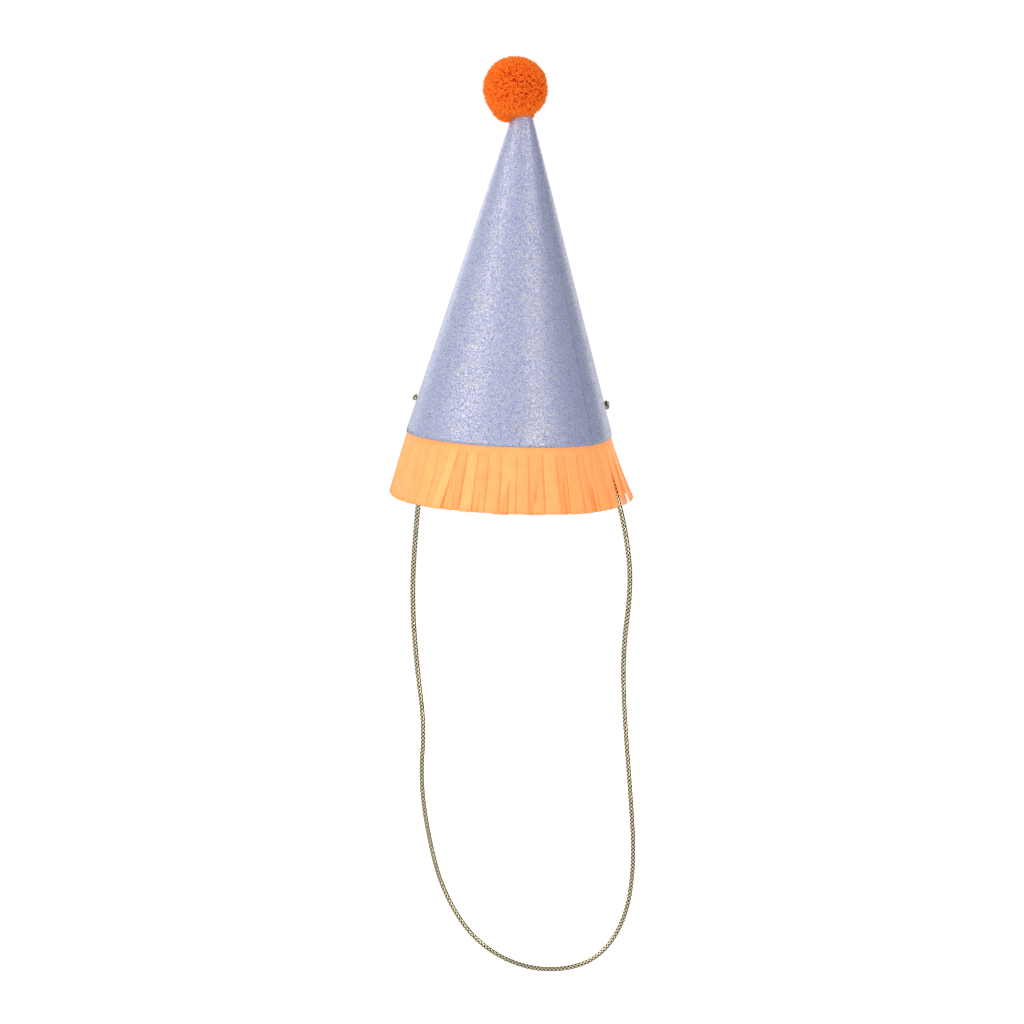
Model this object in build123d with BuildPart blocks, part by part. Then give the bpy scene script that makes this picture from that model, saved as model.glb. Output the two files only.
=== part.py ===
"""A rolled-card party hat with a yarn pompom, a tissue fringe and a cord that loops under the chin.

Millimetres. The origin is the centre of the hat's mouth, in the plane of the card's rim.
+Z runs up the cone to the pompom, -Y is the front, and the two cord holes face -X and +X.
"""
import os
from math import atan, cos, degrees, radians, sin, sqrt, tan

from build123d import *

# The card cone: one sheet rolled up and taped where its edges overlap.
mouth_radius = 52.0
apex_height = 177.0
card_thickness = 0.5
seam_angle = -37.0
overlap_width = 14.0
jog_width = 0.6
jog_gap = 1.2
tape_thickness = 0.15
tape_margin = 1.5
tip_hole_radius = 1.6

# The fringe: two bands of tissue, slit into strips below the rim, their headers taped inside it.
strip_count = 46
strip_drop = 32.0
header_height = 10.0
tissue_thickness = 0.25
slit_start = 3.0
slit_width = 0.9
slit_reach = 6.0

# The cord, its two holes, and the knots that stop it outside them.
cord_diameter = 2.2
hole_height = 15.6
hole_setback = 10.0
hole_clearance = 0.3
knot_length = 2.9
knot_diameter = 4.2
knot_clearance = 0.25
knot_tail_length = 4.5
knot_tail_diameter = 2.0
bend_share = 0.45

# The pompom and the thread that ties it to the tip.
pompom_radius = 16.7
pompom_lean = -4.0
pompom_rise = 3.2
socket_clearance = 0.3
core_radius = 2.0
thread_radius = 0.6
tie_rise = 1.4
tie_knot_radius = 2.2
tie_end_length = 7.0
tie_end_radius = 0.5
tie_end_splay = 12.0

# Worked out from the sizes above. Run means the level distance through a wall that slopes.
cone_angle = degrees(atan(mouth_radius / apex_height))
card_run = card_thickness / cos(radians(cone_angle))
tape_run = tape_thickness / cos(radians(cone_angle))
tissue_run = tissue_thickness / cos(radians(cone_angle))
tip_height = apex_height * (1 - (tip_hole_radius + card_run) / mouth_radius)
overlap_angle = degrees(overlap_width / mouth_radius)
pompom_centre = (pompom_lean, 0.0, tip_height + pompom_rise)


def card_radius(height):
    """The radius of the card's outer face at a height above the mouth."""
    return mouth_radius * (1 - height / apex_height)


def radial_plane(angle):
    """A plane through the cone's axis, with its x outwards at the given angle and its y upwards."""
    outwards = (cos(radians(angle)), sin(radians(angle)), 0)
    sideways = (sin(radians(angle)), -cos(radians(angle)), 0)
    return Plane(origin=(0, 0, 0), x_dir=outwards, z_dir=sideways)


def cone_profile(outer_inset, inner_inset, low, high):
    """The section of a sloping wall between two level insets from the card's outer face."""
    Polygon(
        (card_radius(low) - inner_inset, low),
        (card_radius(low) - outer_inset, low),
        (card_radius(high) - outer_inset, high),
        (card_radius(high) - inner_inset, high),
        align=None,
    )


def bend_radii(points):
    """The arc at each corner of a route: as large as its two straight runs allow."""
    radii = []
    for before, corner, after in zip(points, points[1:], points[2:]):
        run_in = Vector(*corner) - Vector(*before)
        run_out = Vector(*after) - Vector(*corner)
        shorter = min(run_in.length, run_out.length)
        radii.append(bend_share * shorter / tan(radians(run_in.get_angle(run_out) / 2)))
    return radii


# The card: a full turn of wall, a jog outwards, then the flap that lies over the first edge.
first_edge = seam_angle - overlap_angle
flap_start = first_edge + 360 - degrees((jog_gap + jog_width) / mouth_radius)
jog_angle = degrees(jog_width / mouth_radius)
flap_inset = -(tape_run + card_run)

with BuildPart() as card_cone:
    with BuildSketch(radial_plane(first_edge)):
        cone_profile(0, card_run, 0, tip_height)
    revolve(axis=Axis.Z, revolution_arc=flap_start + jog_angle - first_edge)
    with BuildSketch(radial_plane(flap_start)):
        cone_profile(flap_inset, card_run, 0, tip_height)
    revolve(axis=Axis.Z, revolution_arc=jog_angle)
    with BuildSketch(radial_plane(flap_start)):
        cone_profile(flap_inset, -tape_run, 0, tip_height)
    revolve(axis=Axis.Z, revolution_arc=seam_angle + 360 - flap_start)
    with BuildSketch(Plane.YZ):
        with Locations((hole_setback, hole_height)):
            Circle(cord_diameter / 2 + hole_clearance)
    extrude(amount=mouth_radius, both=True, mode=Mode.SUBTRACT)
card_cone.part.label = "card_cone"

# The double-sided tape between the card's two edges.
margin_angle = degrees(tape_margin / mouth_radius)
with BuildPart() as seam_tape:
    with BuildSketch(radial_plane(first_edge + margin_angle)):
        cone_profile(-tape_run, 0, tape_margin, tip_height - pompom_radius)
    revolve(axis=Axis.Z, revolution_arc=overlap_angle - 2 * margin_angle)
seam_tape.part.label = "seam_tape"

# The ring of double-sided tape that holds the fringe's headers to the inside of the rim.
with BuildPart() as fringe_tape:
    with BuildSketch(radial_plane(0)):
        cone_profile(card_run, card_run + tape_run, tape_margin, header_height - tape_margin)
    revolve(axis=Axis.Z)
fringe_tape.part.label = "fringe_tape"


def slit_plane(angle):
    """A plane that faces outwards at the given angle, a little inside the band that a slit cuts."""
    outwards = (cos(radians(angle)), sin(radians(angle)), 0)
    along = (-sin(radians(angle)), cos(radians(angle)), 0)
    return Plane(origin=(0, 0, 0), x_dir=along, z_dir=outwards).offset(mouth_radius - slit_reach)


def slit_planes(first_share):
    """One slit plane for each strip, the first a share of a strip round from +X."""
    pitch = 360 / strip_count
    return [slit_plane((index + first_share) * pitch) for index in range(strip_count)]


fringe_reach = card_radius(-strip_drop) - mouth_radius + 2 * slit_reach
fringe_names = ("fringe_outer", "fringe_inner")
fringe_bands = []
for layer, name in enumerate(fringe_names):
    band_inset = card_run + tape_run + layer * tissue_run
    with BuildPart() as fringe:
        with BuildSketch(radial_plane(0)):
            cone_profile(band_inset, band_inset + tissue_run, -strip_drop, header_height)
        revolve(axis=Axis.Z)
        with BuildSketch(*slit_planes(layer / len(fringe_names))):
            Polygon(
                (0, -slit_start),
                (-slit_width / 2, -strip_drop),
                (-slit_width / 2, -strip_drop - slit_reach),
                (slit_width / 2, -strip_drop - slit_reach),
                (slit_width / 2, -strip_drop),
                align=None,
            )
        extrude(amount=fringe_reach, mode=Mode.SUBTRACT)
    fringe.part.label = name
    fringe_bands.append(fringe.part)

# The knots: a rounded lump on the line through both holes, just clear of the card, with a cut tail.
hole_reach = sqrt(card_radius(hole_height) ** 2 - hole_setback**2)
wall_outward = (
    cos(radians(cone_angle)) * hole_reach / card_radius(hole_height),
    cos(radians(cone_angle)) * hole_setback / card_radius(hole_height),
    sin(radians(cone_angle)),
)
knot_depth = wall_outward[0] * knot_length / 2 + sqrt(1 - wall_outward[0] ** 2) * cord_diameter / 2
knot_reach = hole_reach + (knot_depth + knot_clearance) / wall_outward[0]


def knot(side):
    """A cord knot outside one hole: a lump turned about the line of the holes, with its cut tail."""
    centre = (side * knot_reach, hole_setback, hole_height)
    with BuildPart() as lump:
        with BuildSketch(Plane(origin=centre, x_dir=(side, 0, 0), z_dir=(0, -1, 0))):
            with BuildLine():
                ThreePointArc(
                    (-knot_length / 2, cord_diameter / 2),
                    (0, knot_diameter / 2),
                    (knot_length / 2, cord_diameter / 2),
                )
                Polyline(
                    (knot_length / 2, cord_diameter / 2),
                    (knot_length / 2, 0),
                    (-knot_length / 2, 0),
                    (-knot_length / 2, cord_diameter / 2),
                )
            make_face()
        revolve(axis=Axis(centre, (side, 0, 0)))
        with BuildSketch(Plane(origin=centre, z_dir=(side * 0.15, 0.75, -0.65))):
            Circle(knot_tail_diameter / 2)
        extrude(amount=knot_tail_length)
    return lump.part


knot_left = knot(-1)
knot_left.label = "knot_left"
knot_right = knot(1)
knot_right.label = "knot_right"

# The cord: out of the left knot, through its hole, round the loop and up to the right knot.
cord_end = knot_reach - knot_length / 2
cord_route = [
    (-cord_end, hole_setback, hole_height),
    (-43.0, 10.0, 15.6),
    (-40.1, 10.0, 12.6),
    (-40.3, 10.0, 6.5),
    (-41.7, 10.0, -4.5),
    (-43.7, 10.2, -21.0),
    (-45.6, 10.8, -48.0),
    (-46.7, 11.4, -86.0),
    (-42.9, 11.0, -122.0),
    (-37.6, 9.6, -154.0),
    (-38.7, 9.0, -180.0),
    (-34.6, 9.2, -207.0),
    (-25.5, 9.6, -240.0),
    (-6.5, 10.4, -268.0),
    (23.0, 10.8, -281.5),
    (53.5, 10.4, -276.5),
    (69.5, 9.4, -254.0),
    (73.2, 8.8, -222.0),
    (69.6, 9.0, -186.0),
    (64.6, 10.2, -145.0),
    (62.2, 11.0, -112.0),
    (65.2, 10.8, -76.0),
    (61.3, 10.3, -50.0),
    (55.4, 10.0, -29.0),
    (48.5, 10.0, -12.5),
    (42.8, 10.0, -1.0),
    (40.4, 10.0, 6.4),
    (40.2, 10.0, 12.6),
    (43.0, 10.0, 15.6),
    (cord_end, hole_setback, hole_height),
]
cord_radii = bend_radii(cord_route)

with BuildPart() as chin_cord:
    with BuildLine() as cord_path:
        FilletPolyline(*cord_route, radius=cord_radii)
    with BuildSketch(Plane(origin=cord_path.line @ 0, z_dir=cord_path.line % 0)):
        Circle(cord_diameter / 2)
    sweep(path=cord_path.line)
chin_cord.part.label = "chin_cord"

# The tie: a thread bound round the pompom's core, its two ends twisted down through the tip hole.
tie_knot_height = apex_height * (
    1 - ((tie_knot_radius + socket_clearance) / cos(radians(cone_angle)) + card_run) / mouth_radius
)
tie_start = (pompom_centre[0] + core_radius * cos(radians(45)), 0, pompom_centre[2] + core_radius * sin(radians(45)))
tie_top = (0, 0, pompom_centre[2] + tie_rise)
tie_route = [tie_start, tie_top, (0, 0, tie_knot_height)]

with BuildPart() as pompom_tie:
    with BuildSketch(Plane.XY.offset(pompom_centre[2])):
        with Locations((pompom_centre[0] + core_radius, 0)):
            Circle(thread_radius)
    revolve(axis=Axis(pompom_centre, (0, 1, 0)))
    with BuildLine() as tie_path:
        FilletPolyline(*tie_route, radius=bend_radii(tie_route))
    with BuildSketch(Plane(origin=tie_path.line @ 0, z_dir=tie_path.line % 0)):
        Circle(thread_radius)
    sweep(path=tie_path.line)
pompom_tie.part.label = "pompom_tie"

# The knot inside the tip, too wide for the tip hole, with the thread's two cut ends below it.
with BuildPart() as tie_knot:
    with Locations((0, 0, tie_knot_height)):
        Sphere(tie_knot_radius)
    for side in (-1, 1):
        splay = radians(tie_end_splay)
        with BuildSketch(Plane(origin=(0, 0, tie_knot_height), z_dir=(side * sin(splay), 0, -cos(splay)))):
            Circle(tie_end_radius)
        extrude(amount=tie_knot_radius + tie_end_length)
    with BuildSketch(Plane.XY.offset(tie_knot_height)):
        Circle(thread_radius)
    extrude(amount=2 * tie_knot_radius, mode=Mode.SUBTRACT)
tie_knot.part.label = "tie_knot"

# The pompom: a ball of yarn with a socket for the tip and a channel for its tie.
socket_inset = -(card_run + tape_run + socket_clearance / cos(radians(cone_angle)))
socket_low = tip_height - 2 * pompom_radius
socket_high = tip_height + socket_clearance
with BuildPart() as pompom_yarn:
    with Locations(pompom_centre):
        Sphere(pompom_radius)
    with BuildSketch(radial_plane(0)):
        Polygon(
            (0, socket_low),
            (card_radius(socket_low) - socket_inset, socket_low),
            (card_radius(socket_high) - socket_inset, socket_high),
            (0, socket_high),
            align=None,
        )
    revolve(axis=Axis.Z, mode=Mode.SUBTRACT)
    add(pompom_tie.part, mode=Mode.SUBTRACT)
pompom_yarn.part.label = "pompom_yarn"

os.makedirs("parts", exist_ok=True)
pieces = [
    card_cone.part,
    seam_tape.part,
    *fringe_bands,
    fringe_tape.part,
    chin_cord.part,
    knot_left,
    knot_right,
    pompom_yarn.part,
    pompom_tie.part,
    tie_knot.part,
]
for piece in pieces:
    export_step(piece, f"parts/{piece.label}.step")

cord_length = cord_path.wire().length
print("cord length", round(cord_length, 1), "mm")
print("bend radii", [round(radius, 1) for radius in cord_radii])
tube_volume = cord_length * 3.14159265 * cord_diameter**2 / 4
print("tube volume over section times length", round(chin_cord.part.volume / tube_volume, 5))
print("tip", round(tip_height, 2), "holes at x", round(hole_reach, 2), "cord ends at x", round(cord_end, 2))
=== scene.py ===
"""A rolled-card party hat: a glitter card cone, a tissue fringe, a yarn pompom and a gold cord.

Metres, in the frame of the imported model. The origin is the centre of the hat's mouth, +Z runs up
the cone to the pompom, and -Y is the front. Azimuths run from 0 in front to +90 at the right.
"""

import bpy
import numpy as np
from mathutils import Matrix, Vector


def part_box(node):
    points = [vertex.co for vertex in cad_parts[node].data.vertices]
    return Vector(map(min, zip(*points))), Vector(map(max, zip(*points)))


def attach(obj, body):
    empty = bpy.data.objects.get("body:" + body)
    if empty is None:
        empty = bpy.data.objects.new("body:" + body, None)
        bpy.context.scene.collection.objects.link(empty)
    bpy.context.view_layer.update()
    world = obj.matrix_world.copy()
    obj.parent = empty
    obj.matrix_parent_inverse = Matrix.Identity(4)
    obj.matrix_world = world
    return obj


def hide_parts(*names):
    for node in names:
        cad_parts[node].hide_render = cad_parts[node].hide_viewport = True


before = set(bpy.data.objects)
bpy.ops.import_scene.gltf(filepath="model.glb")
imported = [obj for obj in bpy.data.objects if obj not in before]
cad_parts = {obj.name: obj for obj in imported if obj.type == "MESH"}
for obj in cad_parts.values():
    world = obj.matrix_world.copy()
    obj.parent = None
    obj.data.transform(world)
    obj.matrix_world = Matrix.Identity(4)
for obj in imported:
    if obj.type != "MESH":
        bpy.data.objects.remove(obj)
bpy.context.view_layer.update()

# ---------------------------------------------------------------- camera, floor and light
# A long lens, a little above the tip and tipped down, rolled so that the hat leans as it hangs.
# The floor is plain and pale, well below the cord, and the light is a white room with softboxes.
camera_place = (0.0028, -1.8, 0.2262)
camera_tip = np.radians(8.4)
camera_roll = np.radians(2.3)
floor_height = -0.36
floor_half = 1.2
room_bright_way = (-0.58, -0.52, 0.62)

camera = bpy.data.objects.new("camera", bpy.data.cameras.new("camera"))
camera.data.lens = 126.56
camera.data.sensor_width = 36.0
camera.data.clip_end = 50.0
camera.location = camera_place
camera.rotation_mode = "ZYX"
camera.rotation_euler = (np.pi / 2 - camera_tip, 0.0, camera_roll)
bpy.context.collection.objects.link(camera)
bpy.context.scene.camera = camera
bpy.context.scene.view_settings.view_transform = "Standard"


def new_mesh(name, verts, faces, smooth=True):
    """An object whose mesh has these corners, one row each, and these faces, all with as many corners.

    Each face and the origin span a wedge. Where the wedges add up to less than nothing, the
    surface is inside out, so every face is turned over.
    """
    verts = np.asarray(verts, np.float32)
    faces = np.asarray(faces, np.int32)
    first, second, third = (verts[faces[:, corner]].astype(float) for corner in (0, 1, 2))
    wedges = np.sum(np.cross(first, second) * third)
    if faces.shape[1] == 4:
        wedges += np.sum(np.cross(first, third) * verts[faces[:, 3]])
    if wedges < 0:
        faces = faces[:, ::-1]
    mesh = bpy.data.meshes.new(name)
    sides = faces.shape[1]
    mesh.vertices.add(len(verts))
    mesh.vertices.foreach_set("co", verts.ravel())
    mesh.loops.add(faces.size)
    mesh.loops.foreach_set("vertex_index", faces.ravel())
    mesh.polygons.add(len(faces))
    mesh.polygons.foreach_set("loop_start", np.arange(len(faces), dtype=np.int32) * sides)
    mesh.polygons.foreach_set("loop_total", np.full(len(faces), sides, np.int32))
    mesh.polygons.foreach_set("use_smooth", np.full(len(faces), smooth))
    mesh.update()
    mesh.validate()
    piece = bpy.data.objects.new(name, mesh)
    bpy.context.collection.objects.link(piece)
    return piece


def rows_of_quads(index):
    """The faces between rows of points: index is rows by points round, and each row closes on itself."""
    beside = np.roll(index, -1, axis=-1)
    corners = [index[..., :-1, :], beside[..., :-1, :], beside[..., 1:, :], index[..., 1:, :]]
    return np.stack(corners, axis=-1).reshape(-1, 4)


def end_cap(centre, ring):
    """The faces from one centre point to a closed ring of an even number of points, two sides each."""
    middle = np.full(len(ring) // 2, centre)
    return np.stack([middle, ring[::2], ring[1::2], np.roll(ring, -2)[::2]], axis=-1)


def set_values(piece, name, values):
    """Gives each point of a piece a value that its material reads by name."""
    layer = piece.data.attributes.new(name, "FLOAT", "POINT")
    layer.data.foreach_set("value", np.ascontiguousarray(values, dtype=np.float32).ravel())


def new_material(name):
    """A node material: its tree, its Principled shader, and the function that adds a node to it."""
    material = bpy.data.materials.new(name)
    material.use_nodes = True
    tree = material.node_tree

    def add(kind, **settings):
        node = tree.nodes.new(kind)
        for key, value in settings.items():
            setattr(node, key, value)
        return node

    return material, tree, tree.nodes["Principled BSDF"], add


def new_ramp(add, low, low_colour, high, high_colour):
    """A colour ramp node from one colour at low to another at high."""
    ramp_node = add("ShaderNodeValToRGB")
    ends = ramp_node.color_ramp.elements
    ends[0].position, ends[1].position = low, high
    ends[0].color, ends[1].color = (*low_colour, 1.0), (*high_colour, 1.0)
    return ramp_node


floor_corners = floor_half * np.array([(-1, -1), (1, -1), (1, 1), (-1, 1)])
floor = new_mesh("floor", [(x, y, floor_height) for x, y in floor_corners], [(0, 1, 2, 3)])
floor_paint, floor_tree, floor_shader, floor_add = new_material("floor_paint")
floor_shader.inputs["Base Color"].default_value = (0.90, 0.90, 0.90, 1.0)
floor_shader.inputs["Roughness"].default_value = 0.9
floor_shader.inputs["Emission Color"].default_value = (1.0, 1.0, 1.0, 1.0)
floor_seen = floor_add("ShaderNodeLightPath")
floor_glow = floor_add("ShaderNodeMath", operation="MULTIPLY")
floor_glow.inputs[1].default_value = 0.9
floor_tree.links.new(floor_seen.outputs["Is Camera Ray"], floor_glow.inputs[0])
floor_tree.links.new(floor_glow.outputs[0], floor_shader.inputs["Emission Strength"])
floor.data.materials.append(floor_paint)

room = bpy.data.worlds.new("white_room")
room.use_nodes = True
bpy.context.scene.world = room
room_tree = room.node_tree
room_seen = room_tree.nodes["Background"]
room_seen.inputs["Color"].default_value = (1.0, 1.0, 1.0, 1.0)
room_seen.inputs["Strength"].default_value = 1.05
room_light = room_tree.nodes.new("ShaderNodeBackground")
room_light.inputs["Color"].default_value = (0.97, 0.98, 1.0, 1.0)
room_way = room_tree.nodes.new("ShaderNodeTexCoord")
room_side = room_tree.nodes.new("ShaderNodeVectorMath")
room_side.operation = "DOT_PRODUCT"
room_side.inputs[1].default_value = room_bright_way
room_fall = room_tree.nodes.new("ShaderNodeMapRange")
room_fall.interpolation_type = "SMOOTHSTEP"
room_fall.inputs["From Min"].default_value = -0.50
room_fall.inputs["From Max"].default_value = 0.85
room_fall.inputs["To Min"].default_value = 0.13
room_fall.inputs["To Max"].default_value = 0.82
room_tree.links.new(room_way.outputs["Generated"], room_side.inputs[0])
room_tree.links.new(room_side.outputs["Value"], room_fall.inputs["Value"])
room_tree.links.new(room_fall.outputs["Result"], room_light.inputs["Strength"])
room_ray = room_tree.nodes.new("ShaderNodeLightPath")
room_mix = room_tree.nodes.new("ShaderNodeMixShader")
room_tree.links.new(room_ray.outputs["Is Camera Ray"], room_mix.inputs[0])
room_tree.links.new(room_light.outputs[0], room_mix.inputs[1])
room_tree.links.new(room_seen.outputs[0], room_mix.inputs[2])
room_tree.links.new(room_mix.outputs[0], room_tree.nodes["World Output"].inputs["Surface"])


def softbox(name, azimuth, height, distance, width, tall, power, colour=(1.0, 1.0, 1.0)):
    """An area light at an azimuth, a distance and a height, which faces the hat."""
    light = bpy.data.lights.new(name, "AREA")
    light.shape = "RECTANGLE"
    light.size = width
    light.size_y = tall
    light.energy = power
    light.color = colour
    lamp = bpy.data.objects.new(name, light)
    turn = np.radians(azimuth)
    lamp.location = (distance * np.sin(turn), -distance * np.cos(turn), height)
    lamp.rotation_euler = (np.pi / 2 - np.arctan2(height, distance), 0.0, turn)
    bpy.context.collection.objects.link(lamp)
    return lamp


softbox("key_left", -48, 0.60, 1.8, 1.3, 1.6, 12, (1.0, 0.95, 0.86))
softbox("fill_front", 40, 0.30, 2.1, 0.16, 1.8, 12.5, (1.0, 0.95, 0.86))
softbox("edge_right", 150, 0.30, 1.6, 0.5, 1.4, 5)
softbox("back_left", -150, 0.60, 1.8, 0.8, 1.2, 7)

# ---------------------------------------------------------------- chin cord
# One length of elastic in a braided sleeve of metallic gold thread, knotted outside both holes.
# It leaves a knot, goes in through its hole, hangs in a loop and comes back up to the other.
cord_diameter = 0.0022
sleeve_fullness = 1.16
cord_route = [
    (-0.04702, 0.0100, 0.0156),
    (-0.0430, 0.0100, 0.0156),
    (-0.0401, 0.0100, 0.0126),
    (-0.0403, 0.0100, 0.0065),
    (-0.0417, 0.0100, -0.0045),
    (-0.0437, 0.0102, -0.0210),
    (-0.0456, 0.0108, -0.0480),
    (-0.0467, 0.0114, -0.0860),
    (-0.0429, 0.0110, -0.1220),
    (-0.0376, 0.0096, -0.1540),
    (-0.0387, 0.0090, -0.1800),
    (-0.0346, 0.0092, -0.2070),
    (-0.0255, 0.0096, -0.2400),
    (-0.0065, 0.0104, -0.2680),
    (0.0230, 0.0108, -0.2815),
    (0.0535, 0.0104, -0.2765),
    (0.0695, 0.0094, -0.2540),
    (0.0732, 0.0088, -0.2220),
    (0.0696, 0.0090, -0.1860),
    (0.0646, 0.0102, -0.1450),
    (0.0622, 0.0110, -0.1120),
    (0.0652, 0.0108, -0.0760),
    (0.0613, 0.0103, -0.0500),
    (0.0554, 0.0100, -0.0290),
    (0.0485, 0.0100, -0.0125),
    (0.0428, 0.0100, -0.0010),
    (0.0404, 0.0100, 0.0064),
    (0.0402, 0.0100, 0.0126),
    (0.0430, 0.0100, 0.0156),
    (0.04702, 0.0100, 0.0156),
]
cord_curve = bpy.data.curves.new("cord_route", "CURVE")
cord_curve.dimensions = "3D"
cord_spline = cord_curve.splines.new("NURBS")
cord_spline.points.add(len(cord_route) - 1)
cord_spline.points.foreach_set("co", np.array([(*point, 1.0) for point in cord_route]).ravel())
cord_spline.order_u = 3
cord_spline.use_endpoint_u = True
cord_spline.resolution_u = 24


def spaced(points, step):
    """The same path as points an even step apart along it."""
    length = np.concatenate([[0.0], np.cumsum(np.linalg.norm(np.diff(points, axis=0), axis=1))])
    even = np.linspace(0.0, length[-1], max(2, round(length[-1] / step)))
    return np.stack([np.interp(even, length, axis) for axis in points.T], axis=1), even


def path_of(curve, step):
    """A curve's own line, read from Blender as it draws it with no bevel, in even steps."""
    holder = bpy.data.objects.new("line", curve)
    bpy.context.collection.objects.link(holder)
    mesh = bpy.data.meshes.new_from_object(holder)
    points = np.empty(3 * len(mesh.vertices))
    mesh.vertices.foreach_get("co", points)
    bpy.data.objects.remove(holder)
    bpy.data.meshes.remove(mesh)
    return spaced(points.reshape(-1, 3), step)


def braided_tube(name, path, along, radius, sidewise):
    """A braided sleeve along a path: rings whose height is the upper of two sets of strands.

    Strands of one set wind to the right and those of the other to the left. Each strand is a
    rounded ridge, and it rises and sinks as a cosine where it goes over and under the others.
    The radius is one number or one for each point, and sidewise fixes where each ring starts.
    """
    carriers, sides = 4, 28
    radius = np.broadcast_to(np.asarray(radius, float), along.shape)[:, None]
    rise, ridge = 0.04 * radius, 0.11 * radius
    lay = 2.3 * np.pi * cord_diameter / 2
    tangent = np.gradient(path, axis=0)
    tangent /= np.linalg.norm(tangent, axis=1, keepdims=True)
    first = sidewise - np.sum(sidewise * tangent, axis=1, keepdims=True) * tangent
    first /= np.linalg.norm(first, axis=1, keepdims=True)
    second = np.cross(tangent, first)
    around, down = np.meshgrid(np.linspace(0.0, 2 * np.pi, sides, endpoint=False), along)
    right = carriers * (around / (2 * np.pi) + down / lay)
    left = carriers * (around / (2 * np.pi) - down / lay)
    off_right, off_left = right - np.round(right), left - np.round(left)
    over = rise * np.cos(np.pi * (left - np.round(right))) + ridge * np.sqrt(1 - (1.9 * off_right) ** 2)
    under = -rise * np.cos(np.pi * (right - np.round(left))) + ridge * np.sqrt(1 - (1.9 * off_left) ** 2)
    height = np.maximum(over, under)
    reach = radius - ridge - rise + height
    rings = path[:, None] + reach[..., None] * (
        np.cos(around)[..., None] * first[:, None] + np.sin(around)[..., None] * second[:, None]
    )
    count = len(path) * sides
    index = np.arange(count).reshape(len(path), sides)
    ends = [end_cap(count, index[0][::-1]), end_cap(count + 1, index[-1])]
    points = np.concatenate([rings.reshape(-1, 3), path[[0, -1]]])
    tube = new_mesh(name, points, np.concatenate([rows_of_quads(index), *ends]))
    # The crest is each point's height over the strands; the gold material turns it into painted shade in the
    # grooves.
    set_values(tube, "crest", np.concatenate([(height / (rise + ridge)).ravel(), [1.0, 1.0]]))
    return tube


gold, gold_tree, gold_shader, gold_add = new_material("gold_thread")
# Darker where the braid sinks: partly the dark core showing between strands, partly painted shade in the
# grooves.
gold_crest = gold_add("ShaderNodeAttribute", attribute_name="crest")
gold_groove_shade_ramp = new_ramp(gold_add, 0.70, (0.020, 0.014, 0.006), 0.91, (0.95, 0.84, 0.58))
gold_tree.links.new(gold_crest.outputs["Fac"], gold_groove_shade_ramp.inputs["Fac"])
gold_tree.links.new(gold_groove_shade_ramp.outputs["Color"], gold_shader.inputs["Base Color"])
gold_shader.inputs["Metallic"].default_value = 1.0
gold_shader.inputs["Roughness"].default_value = 0.15

cord_line, cord_along = path_of(cord_curve, 0.00024)
sleeve_radius = sleeve_fullness * cord_diameter / 2
chin_cord = braided_tube("chin_cord_braid", cord_line, cord_along, sleeve_radius, np.array([0.0, 1.0, 0.0]))
chin_cord.data.materials.append(gold)
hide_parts("chin_cord")
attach(chin_cord, "cord_loop")

# ---------------------------------------------------------------- knots
# Each end of the cord is pulled into a tight overhand knot outside its hole, so it can't slip back.
# The elastic thins as it tightens, and a short cut tail stands out behind.
knot_centre = 0.04850
knot_tail = 0.0042
knot_tail_way = np.array([0.16, 0.84, -0.42])
knot_tail_radius = 0.00092


def overhand(side, ring, wave, roll):
    """The line of an overhand knot: a trefoil opened where it starts, with one end led away as a tail.

    The trefoil winds twice round the line of the holes while its distance from that line and its
    place along it swing three times, as a cosine and a sine. Side is -1 at the left and 1 at the
    right, ring is its mean distance, wave is how far it swings, and roll turns it about that line.
    """
    turn = np.linspace(0.30, 4 * np.pi - 0.25, 260)
    reach = ring + wave * np.cos(1.5 * turn)
    place = 1.05 * wave * np.sin(1.5 * turn)
    loop = np.stack([place, reach * np.cos(turn + roll), reach * np.sin(turn + roll)], axis=1)
    lead = loop[-1] + np.linspace(0.0, 1.0, 50)[1:, None] * knot_tail * knot_tail_way
    line = np.concatenate([loop, lead])
    line[:, 0] *= side
    return line + np.array([side * knot_centre, cord_route[0][1], cord_route[0][2]])


for knot_name, knot_thread, knot_shape in (
    ("knot_left", 0.00062, (-1, 0.00066, 0.00052, 1.9)),
    ("knot_right", 0.00070, (1, 0.00105, 0.00066, 0.0)),
):
    knot_line, knot_along = spaced(overhand(*knot_shape), 0.00010)
    knot_fat = knot_thread + (knot_tail_radius - knot_thread) * np.clip(
        (knot_along - knot_along[-1] + knot_tail) / (0.5 * knot_tail), 0.0, 1.0
    )
    knot = braided_tube(knot_name + "_braid", knot_line, knot_along, knot_fat, np.array([0.31, 0.9, 0.3]))
    knot.data.materials.append(gold)
    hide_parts(knot_name)
    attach(knot, "cord_loop")

# ---------------------------------------------------------------- card cone
# One sector of stiff card with a coat of fine glitter on its face, rolled up and taped along an
# overlap down the right of the front. Its back and its cut edges are plain white card.
mouth_radius, apex_height = 0.052, 0.177
rim_lift_height = 0.0025
tip_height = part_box("card_cone")[1].z
card_thickness, tape_gap = 0.00040, 0.00010
seam_edge, overlap = np.radians(-37.0), 0.014 / mouth_radius
hole_radius = 0.0014
cone_slope = mouth_radius / apex_height
cone_lean = np.arctan(cone_slope)


def card_radius(height):
    """How far the card's face is from the axis at a height above the mouth."""
    return mouth_radius - cone_slope * height


def ring_points(radius, angle, height):
    """Points round the cone's axis, angle 0 at +X."""
    radius, angle, height = np.broadcast_arrays(radius, angle, height)
    return np.stack([radius * np.cos(angle), radius * np.sin(angle), height], axis=-1)


def ramp(value, low, high):
    """0 up to low, 1 from high on, and a smooth step between them."""
    share = np.clip((value - low) / (high - low), 0.0, 1.0)
    return share * share * (3 - 2 * share)


def rim_lift(turn):
    """How far the rim stands above level: the card is rolled a little askew at the right side."""
    off = np.remainder(turn - np.radians(5.0) + np.pi, 2 * np.pi) - np.pi
    return rim_lift_height * np.exp(-((off / np.radians(22.0)) ** 2))


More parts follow.
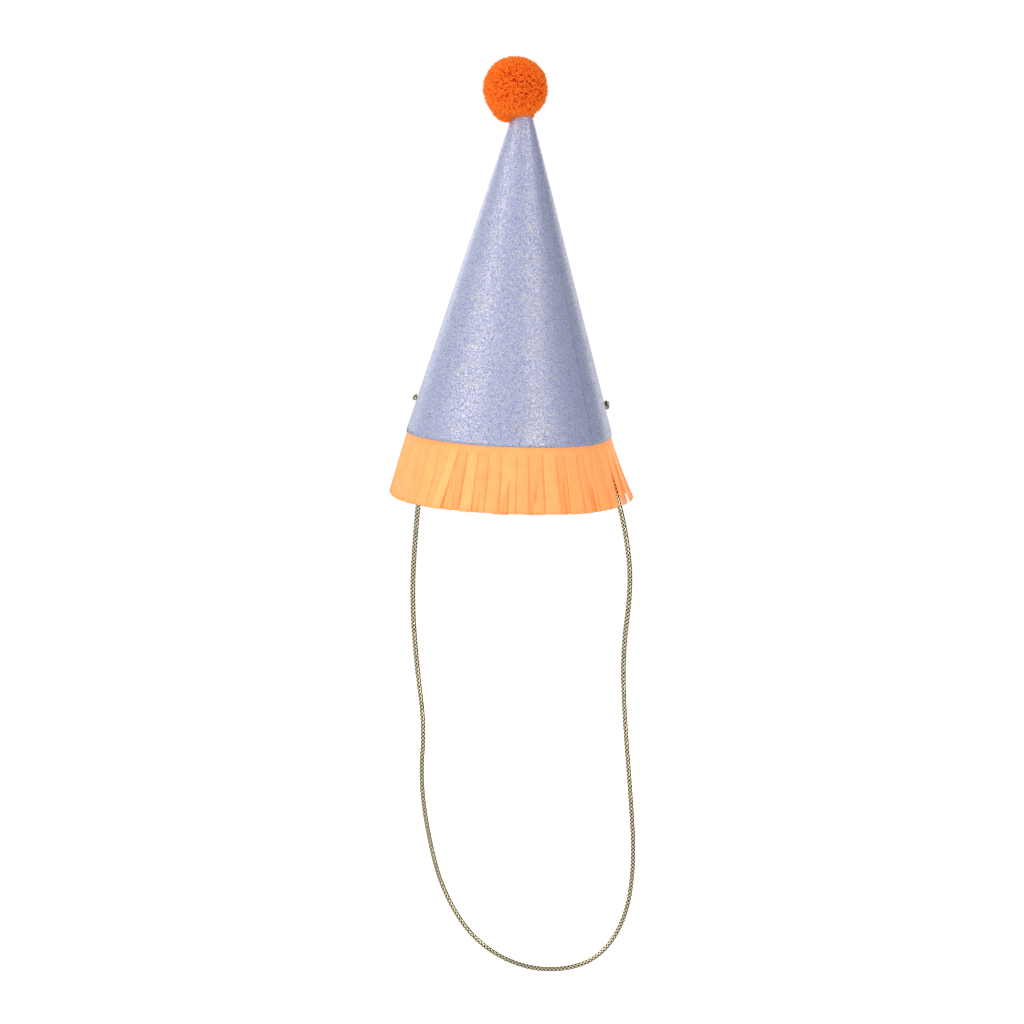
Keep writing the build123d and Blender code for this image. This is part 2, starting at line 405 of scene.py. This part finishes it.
def lay_flat(piece, uv):
    """Gives each corner of each face the uv of its point."""
    corner = np.empty(len(piece.data.loops), np.int32)
    piece.data.loops.foreach_get("vertex_index", corner)
    layer = piece.data.uv_layers.new(name="flat")
    layer.data.foreach_set("uv", uv[corner].astype(np.float32).ravel())


def walled(name, face, back, uv):
    """A closed sheet: a grid of points for its face, one for its back, and walls along the four edges.

    The corners of the face get uv as the sheet lies flat, and so do those of the back.
    """
    rows, columns = face.shape[:2]
    front = np.arange(rows * columns).reshape(rows, columns)
    rear = front + rows * columns

    def quads(a, b):
        return np.stack([a[:-1], a[1:], b[1:], b[:-1]], axis=-1).reshape(-1, 4)

    sheet = np.stack([front[:-1, :-1], front[:-1, 1:], front[1:, 1:], front[1:, :-1]], axis=-1).reshape(-1, 4)
    edges = [
        quads(rear[0], front[0]),
        quads(front[-1], rear[-1]),
        quads(front[:, 0], rear[:, 0]),
        quads(rear[:, -1], front[:, -1]),
    ]
    faces = np.concatenate([sheet, sheet[:, ::-1] + rows * columns, *edges])
    piece = new_mesh(name, np.concatenate([face.reshape(-1, 3), back.reshape(-1, 3)]), faces)
    order = np.arange(len(faces))
    piece.data.polygons.foreach_set("material_index", (order >= len(sheet)).astype(np.int32))
    piece.data.polygons.foreach_set("use_smooth", order < 2 * len(sheet))
    lay_flat(piece, np.concatenate([uv.reshape(-1, 2)] * 2))
    return piece


card_start = seam_edge - overlap
card_turn = np.linspace(card_start, seam_edge + 2 * np.pi, 300)
card_climb = np.linspace(0.0, tip_height, 90)
turn_grid, climb_grid = np.meshgrid(card_turn, card_climb)
climb_grid = climb_grid + rim_lift(turn_grid) * (1 - climb_grid / tip_height) ** 3
lift = (card_thickness + tape_gap) * ramp(turn_grid, card_start + 1.88 * np.pi, card_start + 2 * np.pi)
bow = 0.00012 * np.sin(2 * turn_grid + 0.8) + 0.00007 * np.sin(5 * turn_grid + 60 * climb_grid)
card_face_radius = card_radius(climb_grid) + lift + bow * ramp(climb_grid, tip_height, 0.10)
card_face = ring_points(card_face_radius, turn_grid, climb_grid)
card_back = ring_points(card_face_radius - card_thickness, turn_grid, climb_grid)
slant = (apex_height - climb_grid) / np.cos(cone_lean)
flat_turn = (turn_grid - card_start) * np.sin(cone_lean)
card_flat = np.stack([slant * np.cos(flat_turn), slant * np.sin(flat_turn)], axis=-1)
card = walled("glitter_card", card_face, card_back, card_flat)

glitter, glitter_tree, glitter_shader, glitter_add = new_material("glitter_card")
link = glitter_tree.links.new
flat_map = glitter_add("ShaderNodeUVMap", uv_map="flat")
flakes = glitter_add("ShaderNodeTexVoronoi", voronoi_dimensions="2D", feature="F1")
flakes.inputs["Scale"].default_value = 4400.0
link(flat_map.outputs["UV"], flakes.inputs["Vector"])
flake_split = glitter_add("ShaderNodeSeparateColor")
link(flakes.outputs["Color"], flake_split.inputs["Color"])
drift = glitter_add("ShaderNodeTexNoise", noise_dimensions="2D")
drift.inputs["Scale"].default_value = 420.0
drift.inputs["Detail"].default_value = 3.0
link(flat_map.outputs["UV"], drift.inputs["Vector"])
body_ramp = new_ramp(glitter_add, 0.10, (0.120, 0.172, 0.385), 0.90, (0.515, 0.580, 0.900))
link(flake_split.outputs["Green"], body_ramp.inputs["Fac"])
flake_ramp = new_ramp(glitter_add, 0.60, (0.0, 0.0, 0.0), 0.88, (1.0, 1.0, 1.0))
flake_sum = glitter_add("ShaderNodeMath", operation="MULTIPLY_ADD")
flake_sum.inputs[1].default_value = 0.90
link(flake_split.outputs["Red"], flake_sum.inputs[0])
drift_share = glitter_add("ShaderNodeMath", operation="MULTIPLY")
drift_share.inputs[1].default_value = 0.05
link(drift.outputs["Fac"], drift_share.inputs[0])
link(drift_share.outputs[0], flake_sum.inputs[2])
link(flake_sum.outputs[0], flake_ramp.inputs["Fac"])
flake_mix = glitter_add("ShaderNodeMix", data_type="RGBA")
flake_mix.inputs["B"].default_value = (0.86, 0.77, 0.61, 1.0)
link(flake_ramp.outputs["Color"], flake_mix.inputs["Factor"])
link(body_ramp.outputs["Color"], flake_mix.inputs["A"])
link(flake_mix.outputs["Result"], glitter_shader.inputs["Base Color"])
metal_share = glitter_add("ShaderNodeMath", operation="MULTIPLY")
metal_share.inputs[1].default_value = 0.65
link(flake_ramp.outputs["Color"], metal_share.inputs[0])
link(metal_share.outputs[0], glitter_shader.inputs["Metallic"])
tilt = glitter_add("ShaderNodeVectorMath", operation="MULTIPLY_ADD")
tilt.inputs[1].default_value = (0.20, 0.20, 0.20)
tilt.inputs[2].default_value = (-0.10, -0.10, -0.10)
link(flakes.outputs["Color"], tilt.inputs[0])
surface = glitter_add("ShaderNodeNewGeometry")
tilted = glitter_add("ShaderNodeVectorMath", operation="ADD")
link(surface.outputs["Normal"], tilted.inputs[0])
link(tilt.outputs[0], tilted.inputs[1])
upright = glitter_add("ShaderNodeVectorMath", operation="NORMALIZE")
link(tilted.outputs[0], upright.inputs[0])
link(upright.outputs[0], glitter_shader.inputs["Normal"])
glitter_shader.inputs["Roughness"].default_value = 0.36
glitter_shader.inputs["Specular IOR Level"].default_value = 0.25

plain_card, plain_tree, plain_shader, plain_add = new_material("plain_card")
fibres = plain_add("ShaderNodeTexNoise")
fibres.inputs["Scale"].default_value = 2600.0
fibres.inputs["Detail"].default_value = 4.0
where = plain_add("ShaderNodeTexCoord")
plain_tree.links.new(where.outputs["Object"], fibres.inputs["Vector"])
fibre_ramp = new_ramp(plain_add, 0.0, (0.80, 0.79, 0.77), 1.0, (0.90, 0.90, 0.88))
plain_tree.links.new(fibres.outputs["Fac"], fibre_ramp.inputs["Fac"])
plain_tree.links.new(fibre_ramp.outputs["Color"], plain_shader.inputs["Base Color"])
fibre_bump = plain_add("ShaderNodeBump")
fibre_bump.inputs["Distance"].default_value = 0.00002
plain_tree.links.new(fibres.outputs["Fac"], fibre_bump.inputs["Height"])
plain_tree.links.new(fibre_bump.outputs["Normal"], plain_shader.inputs["Normal"])
plain_shader.inputs["Roughness"].default_value = 0.85

card.data.materials.append(glitter)
card.data.materials.append(plain_card)

punch_sides = 32
punch_reach = np.array([0.06, 0.0, 0.0])
punch_middle = np.array([[0.0, cord_route[0][1], cord_route[0][2]]])
punch_turn = np.linspace(0.0, 2 * np.pi, punch_sides, endpoint=False)
punch_ring = np.stack([0 * punch_turn, np.cos(punch_turn), np.sin(punch_turn)], axis=1)
punch_ring = hole_radius * punch_ring + punch_middle
punch_rings = [punch_ring - punch_reach, punch_ring + punch_reach]
punch_points = np.concatenate([*punch_rings, punch_middle - punch_reach, punch_middle + punch_reach])
punch_index = np.arange(2 * punch_sides).reshape(2, punch_sides)
punch_ends = [end_cap(2 * punch_sides, punch_index[0][::-1]), end_cap(2 * punch_sides + 1, punch_index[1])]
punch = new_mesh("punch", punch_points, np.concatenate([rows_of_quads(punch_index), *punch_ends]))
punch.data.materials.append(glitter)
punch.data.materials.append(plain_card)
punch.data.polygons.foreach_set("material_index", np.ones(len(punch.data.polygons), np.int32))
punch.data.polygons.foreach_set("use_smooth", np.zeros(len(punch.data.polygons), bool))
punching = card.modifiers.new("holes", "BOOLEAN")
punching.object = punch
punching.operation = "DIFFERENCE"
bpy.context.view_layer.update()
punched = bpy.data.meshes.new_from_object(card.evaluated_get(bpy.context.evaluated_depsgraph_get()))
card.modifiers.clear()
card.data = punched
bpy.data.objects.remove(punch)
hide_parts("card_cone")
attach(card, "hat_shell")

# ---------------------------------------------------------------- tape
# Clear double-sided tape: one strip in the card's overlap, and one ring behind the fringe's header.
# Both are flat and hidden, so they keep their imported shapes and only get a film's look.
tape_film, tape_tree, tape_shader, tape_add = new_material("tape_film")
tape_where = tape_add("ShaderNodeTexCoord")
tape_grain = tape_add("ShaderNodeTexNoise")
tape_grain.inputs["Scale"].default_value = 900.0
tape_tree.links.new(tape_where.outputs["Object"], tape_grain.inputs["Vector"])
tape_ramp = new_ramp(tape_add, 0.0, (0.78, 0.77, 0.70), 1.0, (0.90, 0.90, 0.86))
tape_tree.links.new(tape_grain.outputs["Fac"], tape_ramp.inputs["Fac"])
tape_tree.links.new(tape_ramp.outputs["Color"], tape_shader.inputs["Base Color"])
tape_shader.inputs["Roughness"].default_value = 0.35
for tape_name in ("seam_tape", "fringe_tape"):
    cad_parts[tape_name].data.materials.clear()
    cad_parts[tape_name].data.materials.append(tape_film)

# ---------------------------------------------------------------- fringe
# Two bands of orange tissue, cut up from below into strips and taped by their headers inside the
# rim. The strips hang in line with the cone, part at their slits, and lean and curl a little.
tissue_gap = 0.00030
header_top, slit_top, strip_end = 0.010, -0.0018, -0.0318
strip_columns, strip_rows, header_rows = 5, 13, 5
tissue_thickness = 0.00010
strips_behind = 30
random = np.random.default_rng(31)

# The front's slits, by azimuth in degrees, and the strip from each one to the next: how far it
# turns about its own length in radians, leans round and lifts off the cone in mm, and how light it
# is painted, a painted light and shade for how each panel is lit and overlapped. The right leg of the cord
# comes out at the gap slit.
front_slits = [
    -48.7, -40.6, -33.6, -28.1, -22.3, -16.5, -10.4, -3.4, 4.7, 10.8,
    18.7, 26.5, 31.7, 40.0, 44.3, 50.3, 59.0, 67.6, 76.0, 84.5,
]
front_turns = [
    0.0, -0.01, 0.02, -0.04, 0.005, -0.01, 0.06, -0.015, 0.06, -0.01,
    0.06, -0.02, 0.0, 0.06, -0.01, 0.01, 0.02, -0.05, 0.02,
]
front_leans = [
    -0.1, -0.2, -4.3, -1.2, -0.1, 0.0, -0.1, 0.0, 0.0, 0.1,
    0.0, 0.45, 0.0, 0.15, 0.6, -0.1, -0.2, 1.7, 1.5,
]
front_painted_shades = [
    0.75, 0.7, 1.0, 0.4, 0.85, 0.5, 0.6, 0.75, 0.6, 0.5,
    0.7, 0.45, 0.6, 0.5, 0.65, 0.6, 0.75, 0.85, 0.95,
]
front_lifts = [
    0.0, 0.0, 0.8, 0.1, 0.35, 0.0, 0.4, 0.0, 0.4, 0.1,
    0.5, 0.0, 0.3, 0.55, 0.0, 0.35, 0.0, 0.0, 0.3,
]
gap_slit = 17


def slit_angles(offset):
    """Each slit's azimuth in degrees: chosen in front, even behind, then moved by a share of a strip."""
    behind = np.linspace(front_slits[-1], front_slits[0] + 360, strips_behind + 1)[1:-1]
    behind = behind + random.uniform(-1.3, 1.3, strips_behind - 1)
    slits = np.concatenate([front_slits, behind])
    share = np.full(len(slits), offset)
    share[gap_slit] = 0.0
    widths = np.diff(np.append(slits, slits[0] + 360))
    return slits + share * (widths + random.uniform(-1.5, 1.5, len(slits)))


def tissue_band(name, layer, offset):
    """A band of strips that hang from a ring of header, layer 0 outside and 1 inside.

    A strip's points are its middle line, which runs on down the cone, plus its share of the width
    across. Going down, it widens a little, leans round the cone, lifts off it, twists, curls
    across and ripples. Its own amounts are random, less so in the calm stretch at the left.
    The inner band takes the chosen leans only by the gap, where strips bend late, near their ends.
    """
    slits = np.radians(slit_angles(offset) - 90.0)
    count = len(slits)
    widths = np.diff(np.append(slits, slits[0] + 2 * np.pi))
    across = np.linspace(0.0, 1.0, strip_columns + 1)
    inset = card_thickness + tape_gap + (layer + 0.5) * tissue_gap

    header_turn = (slits[:, None] + widths[:, None] * across[None, :-1]).ravel()
    header_climb = np.linspace(header_top, slit_top, header_rows)[:, None]
    header_climb = header_climb + rim_lift(header_turn)[None, :]
    header_radius = card_radius(header_climb) - inset
    header = ring_points(header_radius, header_turn[None, :], header_climb)

    down = np.linspace(0.0, 1.0, strip_rows)[1:][None, :, None]
    side = (across - 0.5)[None, None, :]
    middle = (slits + widths / 2)[:, None, None]
    azimuth = (np.degrees(middle) + 270.0) % 360.0 - 180.0
    right_flare = 0.0034 * np.exp(-(((azimuth - 88.0) / 16.0) ** 2))
    left_draw = 0.0018 * np.exp(-(((azimuth + 84.0) / 22.0) ** 2))
    calm = 1.0 - 0.88 * np.exp(-(((azimuth + 68.0) / 21.0) ** 4))

    def spread(amount):
        return calm * random.normal(0.0, amount, (count, 1, 1))

    length = strip_end + spread(0.00015) + spread(0.0001) * side
    climb = slit_top + (length - slit_top) * down + rim_lift(middle)
    strip = np.arange(count)
    by_gap = strip >= gap_slit - 1
    lean = spread(0.00016)
    chosen = np.where(by_gap[: len(front_leans)], 1, 1 - layer)
    lean[: len(front_leans), 0, 0] = 0.001 * chosen * np.array(front_leans)
    bend_power = np.where(by_gap & (strip < gap_slit + 3), 2.8, 1.1)
    lean = lean * down ** bend_power[:, None, None]
    lift = np.abs(spread(0.0003))
    lift[: len(front_lifts), 0, 0] = 0.001 * np.array(front_lifts)
    lift = (lift + right_flare - left_draw) * down**1.6
    twist = spread(0.022)
    twist[: len(front_turns), 0, 0] = front_turns
    twist = twist * down**0.8
    curl = spread(0.0002) * (4 * side**2 - 0.33) * down**1.2
    ripple_start = random.random((count, 1, 1))
    ripple = 0.00013 * np.sin(2 * np.pi * (1.6 * side + 1.3 * down) + 2 * np.pi * ripple_start)
    crease = 0.00016 * np.exp(-(((side - 0.3 * random.uniform(-1, 1, (count, 1, 1))) / 0.06) ** 2))
    top_radius = card_radius(slit_top) - inset
    width = widths[:, None, None] * top_radius * (1 + 0.150 * down)
    radius = card_radius(climb) - inset + lift + curl + (ripple - crease) * down + twist * side * width
    shift = lean + side * width
    verts = ring_points(radius, middle + shift / radius, climb)

    ring = header_rows * count * strip_columns
    header_index = np.arange(ring).reshape(header_rows, -1)
    first_row = header_index[-1].reshape(count, strip_columns)
    first_row = np.concatenate([first_row, np.roll(first_row[:, :1], -1, axis=0)], axis=1)[:, None]
    hung = ring + np.arange(count * (strip_rows - 1) * (strip_columns + 1)).reshape(count, strip_rows - 1, -1)
    index = np.concatenate([first_row, hung], axis=1)
    corners = [index[:, :-1, :-1], index[:, :-1, 1:], index[:, 1:, 1:], index[:, 1:, :-1]]
    faces = np.concatenate([rows_of_quads(header_index), np.stack(corners, axis=-1).reshape(-1, 4)])
    band = new_mesh(name, np.concatenate([header.reshape(-1, 3), verts.reshape(-1, 3)]), faces[:, ::-1])
    header_flat = np.stack([header_turn * mouth_radius + 0 * header_climb, header_climb], axis=-1)
    strip_flat = np.stack(np.broadcast_arrays(middle * mouth_radius + side * width, climb), axis=-1)
    lay_flat(band, np.concatenate([header_flat.reshape(-1, 2), strip_flat.reshape(-1, 2)]))
    # Each strip's tone is painted light and shade on its panel, set in front and random behind; the inner
    # band, header and strips, is painted darker as shade from the outer band.
    strip_painted_shade = 0.75 + calm.ravel() * random.uniform(-0.48, 0.08, count) - 0.5 * layer
    strip_painted_shade[: len(front_painted_shades)] = np.array(front_painted_shades) - 0.5 * layer
    hung_painted_shade = np.broadcast_to(strip_painted_shade[:, None, None], verts.shape[:3]).ravel()
    set_values(band, "tone", np.concatenate([np.full(ring, 0.55 - 0.5 * layer), hung_painted_shade]))
    wall = band.modifiers.new("wall", "SOLIDIFY")
    wall.thickness = tissue_thickness
    wall.offset = 0.0
    return band


tissue, tissue_tree, tissue_shader, tissue_add = new_material("orange_tissue")
link = tissue_tree.links.new
tissue_map = tissue_add("ShaderNodeUVMap", uv_map="flat")
cloud = tissue_add("ShaderNodeTexNoise", noise_dimensions="2D")
cloud.inputs["Scale"].default_value = 160.0
cloud.inputs["Detail"].default_value = 6.0
cloud.inputs["Roughness"].default_value = 0.62
link(tissue_map.outputs["UV"], cloud.inputs["Vector"])
grain_stretch = tissue_add("ShaderNodeMapping")
grain_stretch.inputs["Scale"].default_value = (1500.0, 110.0, 1.0)
link(tissue_map.outputs["UV"], grain_stretch.inputs["Vector"])
grain = tissue_add("ShaderNodeTexNoise", noise_dimensions="2D")
grain.inputs["Scale"].default_value = 1.0
grain.inputs["Detail"].default_value = 3.0
link(grain_stretch.outputs["Vector"], grain.inputs["Vector"])
mottle = tissue_add("ShaderNodeMath", operation="MULTIPLY_ADD")
mottle.inputs[1].default_value = 0.35
link(grain.outputs["Fac"], mottle.inputs[0])
cloud_share = tissue_add("ShaderNodeMath", operation="MULTIPLY")
cloud_share.inputs[1].default_value = 0.65
link(cloud.outputs["Fac"], cloud_share.inputs[0])
link(cloud_share.outputs[0], mottle.inputs[2])
tissue_ramp = new_ramp(tissue_add, 0.30, (1.0, 0.48, 0.155), 0.72, (1.0, 0.565, 0.215))
link(mottle.outputs[0], tissue_ramp.inputs["Fac"])
# The tone attribute tints the tissue lighter or darker: painted light and shade, strip by strip.
strip_shade_value = tissue_add("ShaderNodeAttribute", attribute_name="tone")
painted_shade_tint = tissue_add("ShaderNodeMix", data_type="RGBA")
painted_shade_tint.inputs["A"].default_value = (0.97, 0.84, 0.72, 1.0)
painted_shade_tint.inputs["B"].default_value = (1.0, 1.17, 1.32, 1.0)
link(strip_shade_value.outputs["Fac"], painted_shade_tint.inputs["Factor"])
tissue_colour_and_shade = tissue_add("ShaderNodeMix", data_type="RGBA", blend_type="MULTIPLY", clamp_result=True)
tissue_colour_and_shade.inputs["Factor"].default_value = 1.0
link(tissue_ramp.outputs["Color"], tissue_colour_and_shade.inputs["A"])
link(painted_shade_tint.outputs["Result"], tissue_colour_and_shade.inputs["B"])
link(tissue_colour_and_shade.outputs["Result"], tissue_shader.inputs["Base Color"])
tissue_bump = tissue_add("ShaderNodeBump")
tissue_bump.inputs["Strength"].default_value = 0.6
tissue_bump.inputs["Distance"].default_value = 0.00012
link(mottle.outputs[0], tissue_bump.inputs["Height"])
link(tissue_bump.outputs["Normal"], tissue_shader.inputs["Normal"])
tissue_shader.inputs["Roughness"].default_value = 0.50
tissue_shader.inputs["Specular IOR Level"].default_value = 0.35
# The tissue glows faintly in its own colour: painted light that brightens the fringe.
link(tissue_colour_and_shade.outputs["Result"], tissue_shader.inputs["Emission Color"])
tissue_shader.inputs["Emission Strength"].default_value = 0.30
glow = tissue_add("ShaderNodeBsdfTranslucent")
link(tissue_colour_and_shade.outputs["Result"], glow.inputs["Color"])
link(tissue_bump.outputs["Normal"], glow.inputs["Normal"])
thin = tissue_add("ShaderNodeMixShader")
thin.inputs[0].default_value = 0.38
link(tissue_shader.outputs[0], thin.inputs[1])
link(glow.outputs[0], thin.inputs[2])
link(thin.outputs[0], tissue_tree.nodes["Material Output"].inputs["Surface"])

for layer, (band_name, offset) in enumerate((("fringe_outer", 0.0), ("fringe_inner", 0.5))):
    band = tissue_band(band_name + "_tissue", layer, offset)
    band.data.materials.append(tissue)
    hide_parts(band_name)
    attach(band, "hat_shell")

# ---------------------------------------------------------------- pompom
# A ball of cut yarn. Every yarn is bound at the core and stands out from it, its plies open at the
# cut end, and the yarns part round the tip of the cone. Loose fibres stand out of the ends.
pompom_low, pompom_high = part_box("pompom_yarn")
pompom_radius = (pompom_high.x - pompom_low.x) / 2
pompom_centre = np.array([(pompom_high.x + pompom_low.x) / 2, 0.0, pompom_high.z - pompom_radius])
yarn_count, ply_count, fibre_count = 2200, 3, 3000
ply_radius, fibre_radius = 0.00039, 0.000045
heart_share = 0.80
random = np.random.default_rng(7)


def directions(count, scatter):
    """Unit directions spread evenly over a ball by the golden angle, each then moved a little."""
    step = np.arange(count) + 0.5
    up = 1 - 2 * step / count
    turn = np.pi * (1 + 5**0.5) * step
    flat = np.sqrt(1 - up**2)
    out = np.stack([flat * np.cos(turn), flat * np.sin(turn), up], axis=1)
    out += random.normal(0.0, scatter, out.shape)
    return out / np.linalg.norm(out, axis=1, keepdims=True)


def clear_of_tip(points, margin):
    """Moves what is inside the cone's tip straight out from the axis, to a margin off the card."""
    radius = np.hypot(points[..., 0], points[..., 1])
    least = np.where(points[..., 2] < tip_height + margin, card_radius(points[..., 2]) + margin, 0.0)
    scale = np.maximum(radius, least) / np.maximum(radius, 1e-6)
    return points * np.stack([scale, scale, np.ones_like(scale)], axis=-1)


def tufts(name, lines, radii, share, sides):
    """Thin tubes along many lines at once: lines is strands by points by 3, radii strands by points.

    Each tube's points get outness, 0 at the first share of the way out and 1 at the end, and a
    tone of its own. It is closed by lids of four corners each, so sides is even.
    """
    count, steps = radii.shape
    tangent = np.gradient(lines, axis=1)
    tangent /= np.linalg.norm(tangent, axis=2, keepdims=True)
    axis = random.normal(size=(count, 1, 3))
    first = np.cross(tangent, axis)
    first /= np.linalg.norm(first, axis=2, keepdims=True)
    second = np.cross(tangent, first)
    turn = np.linspace(0.0, 2 * np.pi, sides, endpoint=False)[:, None]
    ring = np.cos(turn) * first[:, :, None] + np.sin(turn) * second[:, :, None]
    verts = lines[:, :, None] + radii[:, :, None, None] * ring
    index = np.arange(count * steps * sides).reshape(count, steps, sides)
    lids = [(0, corner, corner + 1, corner + 2) for corner in range(1, sides - 1, 2)]
    tips = [index[:, -1, lid] for lid in lids]
    feet = [index[:, 0, lid[::-1]] for lid in lids]
    piece = new_mesh(name, verts.reshape(-1, 3), np.concatenate([rows_of_quads(index), *tips, *feet]))
    out = np.broadcast_to(((share - share[0]) / (1 - share[0]))[None, :, None], index.shape)
    set_values(piece, "outness", out)
    set_values(piece, "tone", np.broadcast_to(random.random((count, 1, 1)), out.shape))
    return piece


def trimmed(way):
    """How far yarn reaches in each direction: cut short in front of the cone, and drooping beside it."""
    short_way, long_way = np.array([0.13, -0.22, -0.967]), np.array([-0.37, 0.0, -0.93])
    short, long = np.clip(np.stack([way @ short_way, way @ long_way]), 0.0, 1.0)
    return (pompom_radius * (0.965 - 0.17 * short**11 + 0.13 * long**12))[:, None]


comb_waves, comb_starts = random.normal(0.0, 3.2, (3, 3)), random.uniform(0.0, 6.0, 3)
yarn_way = directions(yarn_count, 0.022)
yarn_reach = trimmed(yarn_way) * (1.0 - np.abs(random.normal(0.0, 0.012, (yarn_count, 1))))
out_share = np.array([0.66, 0.86, 0.975, 1.0])
bend = random.normal(0.0, 0.025, (yarn_count, 3)) + 0.15 * np.sin(yarn_way @ comb_waves + comb_starts)
bend -= np.sum(bend * yarn_way, axis=1, keepdims=True) * yarn_way
yarn_side = np.cross(yarn_way, random.normal(size=(yarn_count, 3)))
yarn_side /= np.linalg.norm(yarn_side, axis=1, keepdims=True)
yarn_other = np.cross(yarn_way, yarn_side)
ply_turn = 2 * np.pi * np.arange(ply_count)[None, :, None] / ply_count
ply_turn = ply_turn + 4.0 * out_share + 2 * np.pi * random.random((yarn_count, 1, 1))
splay = 0.00034 + 0.00030 * ramp(out_share, 0.80, 1.0) * random.uniform(0.3, 1.6, (yarn_count, ply_count, 1))
spine = yarn_way[:, None, :] * (yarn_reach * out_share[None, :])[..., None]
spine = spine + pompom_radius * bend[:, None, :] * (out_share[None, :, None] ** 2)
ply_end = 1 - np.abs(random.normal(0.0, 0.030, (yarn_count, ply_count, 1, 1))) * (out_share[:, None] > 0.9)
ply_way = np.cos(ply_turn)[..., None] * yarn_side[:, None, None]
ply_way = ply_way + np.sin(ply_turn)[..., None] * yarn_other[:, None, None]
plies = spine[:, None] * ply_end + splay[..., None] * ply_way
plies = clear_of_tip(plies.reshape(-1, len(out_share), 3) + pompom_centre, 0.0007)
ply_fat = ply_radius * np.array([0.9, 1.0, 0.9, 0.40]) * random.uniform(0.8, 1.2, (len(plies), 1))
half = len(plies) // 2
yarn_upper = tufts("pompom_yarn_upper", plies[:half], ply_fat[:half], out_share, 6)
yarn_lower = tufts("pompom_yarn_lower", plies[half:], ply_fat[half:], out_share, 6)

fibre_way = directions(fibre_count, 0.05)
fibre_reach = trimmed(fibre_way) * (0.975 + np.abs(random.normal(0.0, 0.012, (fibre_count, 1))))
fibre_share = np.array([0.86, 0.95, 1.0])
fibre_bend = random.normal(0.0, 0.05, (fibre_count, 1, 3)) * (fibre_share**6)[None, :, None]
fibre_lines = (fibre_way[:, None] + fibre_bend) * (fibre_reach * fibre_share[None, :])[..., None]
fibre_lines = clear_of_tip(fibre_lines + pompom_centre, 0.0004)
fibre_fat = fibre_radius * np.array([1.0, 0.9, 0.4])[None, :] * np.ones((fibre_count, 1))
fuzz = tufts("pompom_fibres", fibre_lines, fibre_fat, fibre_share, 4)

heart_rows, heart_sides = 23, 48
heart_climb = np.linspace(-np.pi / 2, np.pi / 2, heart_rows + 2)[1:-1][:, None]
heart_turn = np.linspace(0.0, 2 * np.pi, heart_sides, endpoint=False)[None, :]
heart_ball = ring_points(np.cos(heart_climb), heart_turn, np.sin(heart_climb)).reshape(-1, 3)
heart_ball = np.concatenate([heart_ball, [[0.0, 0.0, -1.0], [0.0, 0.0, 1.0]]])
heart_points = clear_of_tip(heart_share * pompom_radius * heart_ball + pompom_centre, 0.0006)
heart_count = heart_rows * heart_sides
heart_index = np.arange(heart_count).reshape(heart_rows, heart_sides)
heart_caps = [end_cap(heart_count, heart_index[0][::-1]), end_cap(heart_count + 1, heart_index[-1])]
# The heart has no outness, so the yarn material paints it the darkest red: painted shade in the ball's core.
heart = new_mesh("pompom_heart", heart_points, np.concatenate([rows_of_quads(heart_index), *heart_caps]))

orange, orange_tree, orange_shader, orange_add = new_material("orange_yarn")
link = orange_tree.links.new
outness = orange_add("ShaderNodeAttribute", attribute_name="outness")
tone = orange_add("ShaderNodeAttribute", attribute_name="tone")
# Painted shade and highlight: yarn is painted dark red deep in the ball and brighter orange towards the cut
# tips.
yarn_depth_shade_ramp = new_ramp(orange_add, 0.56, (0.86, 0.070, 0.005), 1.0, (1.0, 0.27, 0.018))
link(outness.outputs["Fac"], yarn_depth_shade_ramp.inputs["Fac"])
tone_mix = orange_add("ShaderNodeMix", data_type="RGBA", blend_type="MULTIPLY")
tone_mix.inputs["Factor"].default_value = 0.9
tone_ramp = new_ramp(orange_add, 0.0, (0.86, 0.66, 0.6), 1.0, (1.0, 1.0, 1.0))
link(tone.outputs["Fac"], tone_ramp.inputs["Fac"])
link(yarn_depth_shade_ramp.outputs["Color"], tone_mix.inputs["A"])
link(tone_ramp.outputs["Color"], tone_mix.inputs["B"])
link(tone_mix.outputs["Result"], orange_shader.inputs["Base Color"])
orange_shader.inputs["Roughness"].default_value = 0.75
orange_shader.inputs["Sheen Weight"].default_value = 0.3
orange_shader.inputs["Sheen Tint"].default_value = (1.0, 0.55, 0.15, 1.0)
orange_shader.inputs["Specular IOR Level"].default_value = 0.25
# The yarn glows faintly in its own colour: painted light that brightens the ball.
link(tone_mix.outputs["Result"], orange_shader.inputs["Emission Color"])
orange_shader.inputs["Emission Strength"].default_value = 0.12
for pompom_piece in (yarn_upper, yarn_lower, fuzz, heart):
    pompom_piece.data.materials.append(orange)
    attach(pompom_piece, "pompom")
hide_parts("pompom_yarn")

# ---------------------------------------------------------------- pompom tie
# A twisted thread bound round the pompom's core, led through the tip and knotted inside the cone.
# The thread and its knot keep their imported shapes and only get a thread's look.
tie_thread, tie_tree, tie_shader, tie_add = new_material("tie_thread")
tie_where = tie_add("ShaderNodeTexCoord")
tie_lay = tie_add("ShaderNodeTexWave", bands_direction="DIAGONAL")
tie_lay.inputs["Scale"].default_value = 900.0
tie_lay.inputs["Distortion"].default_value = 1.5
tie_tree.links.new(tie_where.outputs["Object"], tie_lay.inputs["Vector"])
tie_ramp = new_ramp(tie_add, 0.0, (0.50, 0.05, 0.005), 1.0, (0.95, 0.20, 0.02))
tie_tree.links.new(tie_lay.outputs["Fac"], tie_ramp.inputs["Fac"])
tie_tree.links.new(tie_ramp.outputs["Color"], tie_shader.inputs["Base Color"])
tie_bump = tie_add("ShaderNodeBump")
tie_bump.inputs["Distance"].default_value = 0.0001
tie_tree.links.new(tie_lay.outputs["Fac"], tie_bump.inputs["Height"])
tie_tree.links.new(tie_bump.outputs["Normal"], tie_shader.inputs["Normal"])
tie_shader.inputs["Roughness"].default_value = 0.8
for tie_name in ("pompom_tie", "tie_knot"):
    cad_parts[tie_name].data.materials.clear()
    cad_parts[tie_name].data.materials.append(tie_thread)
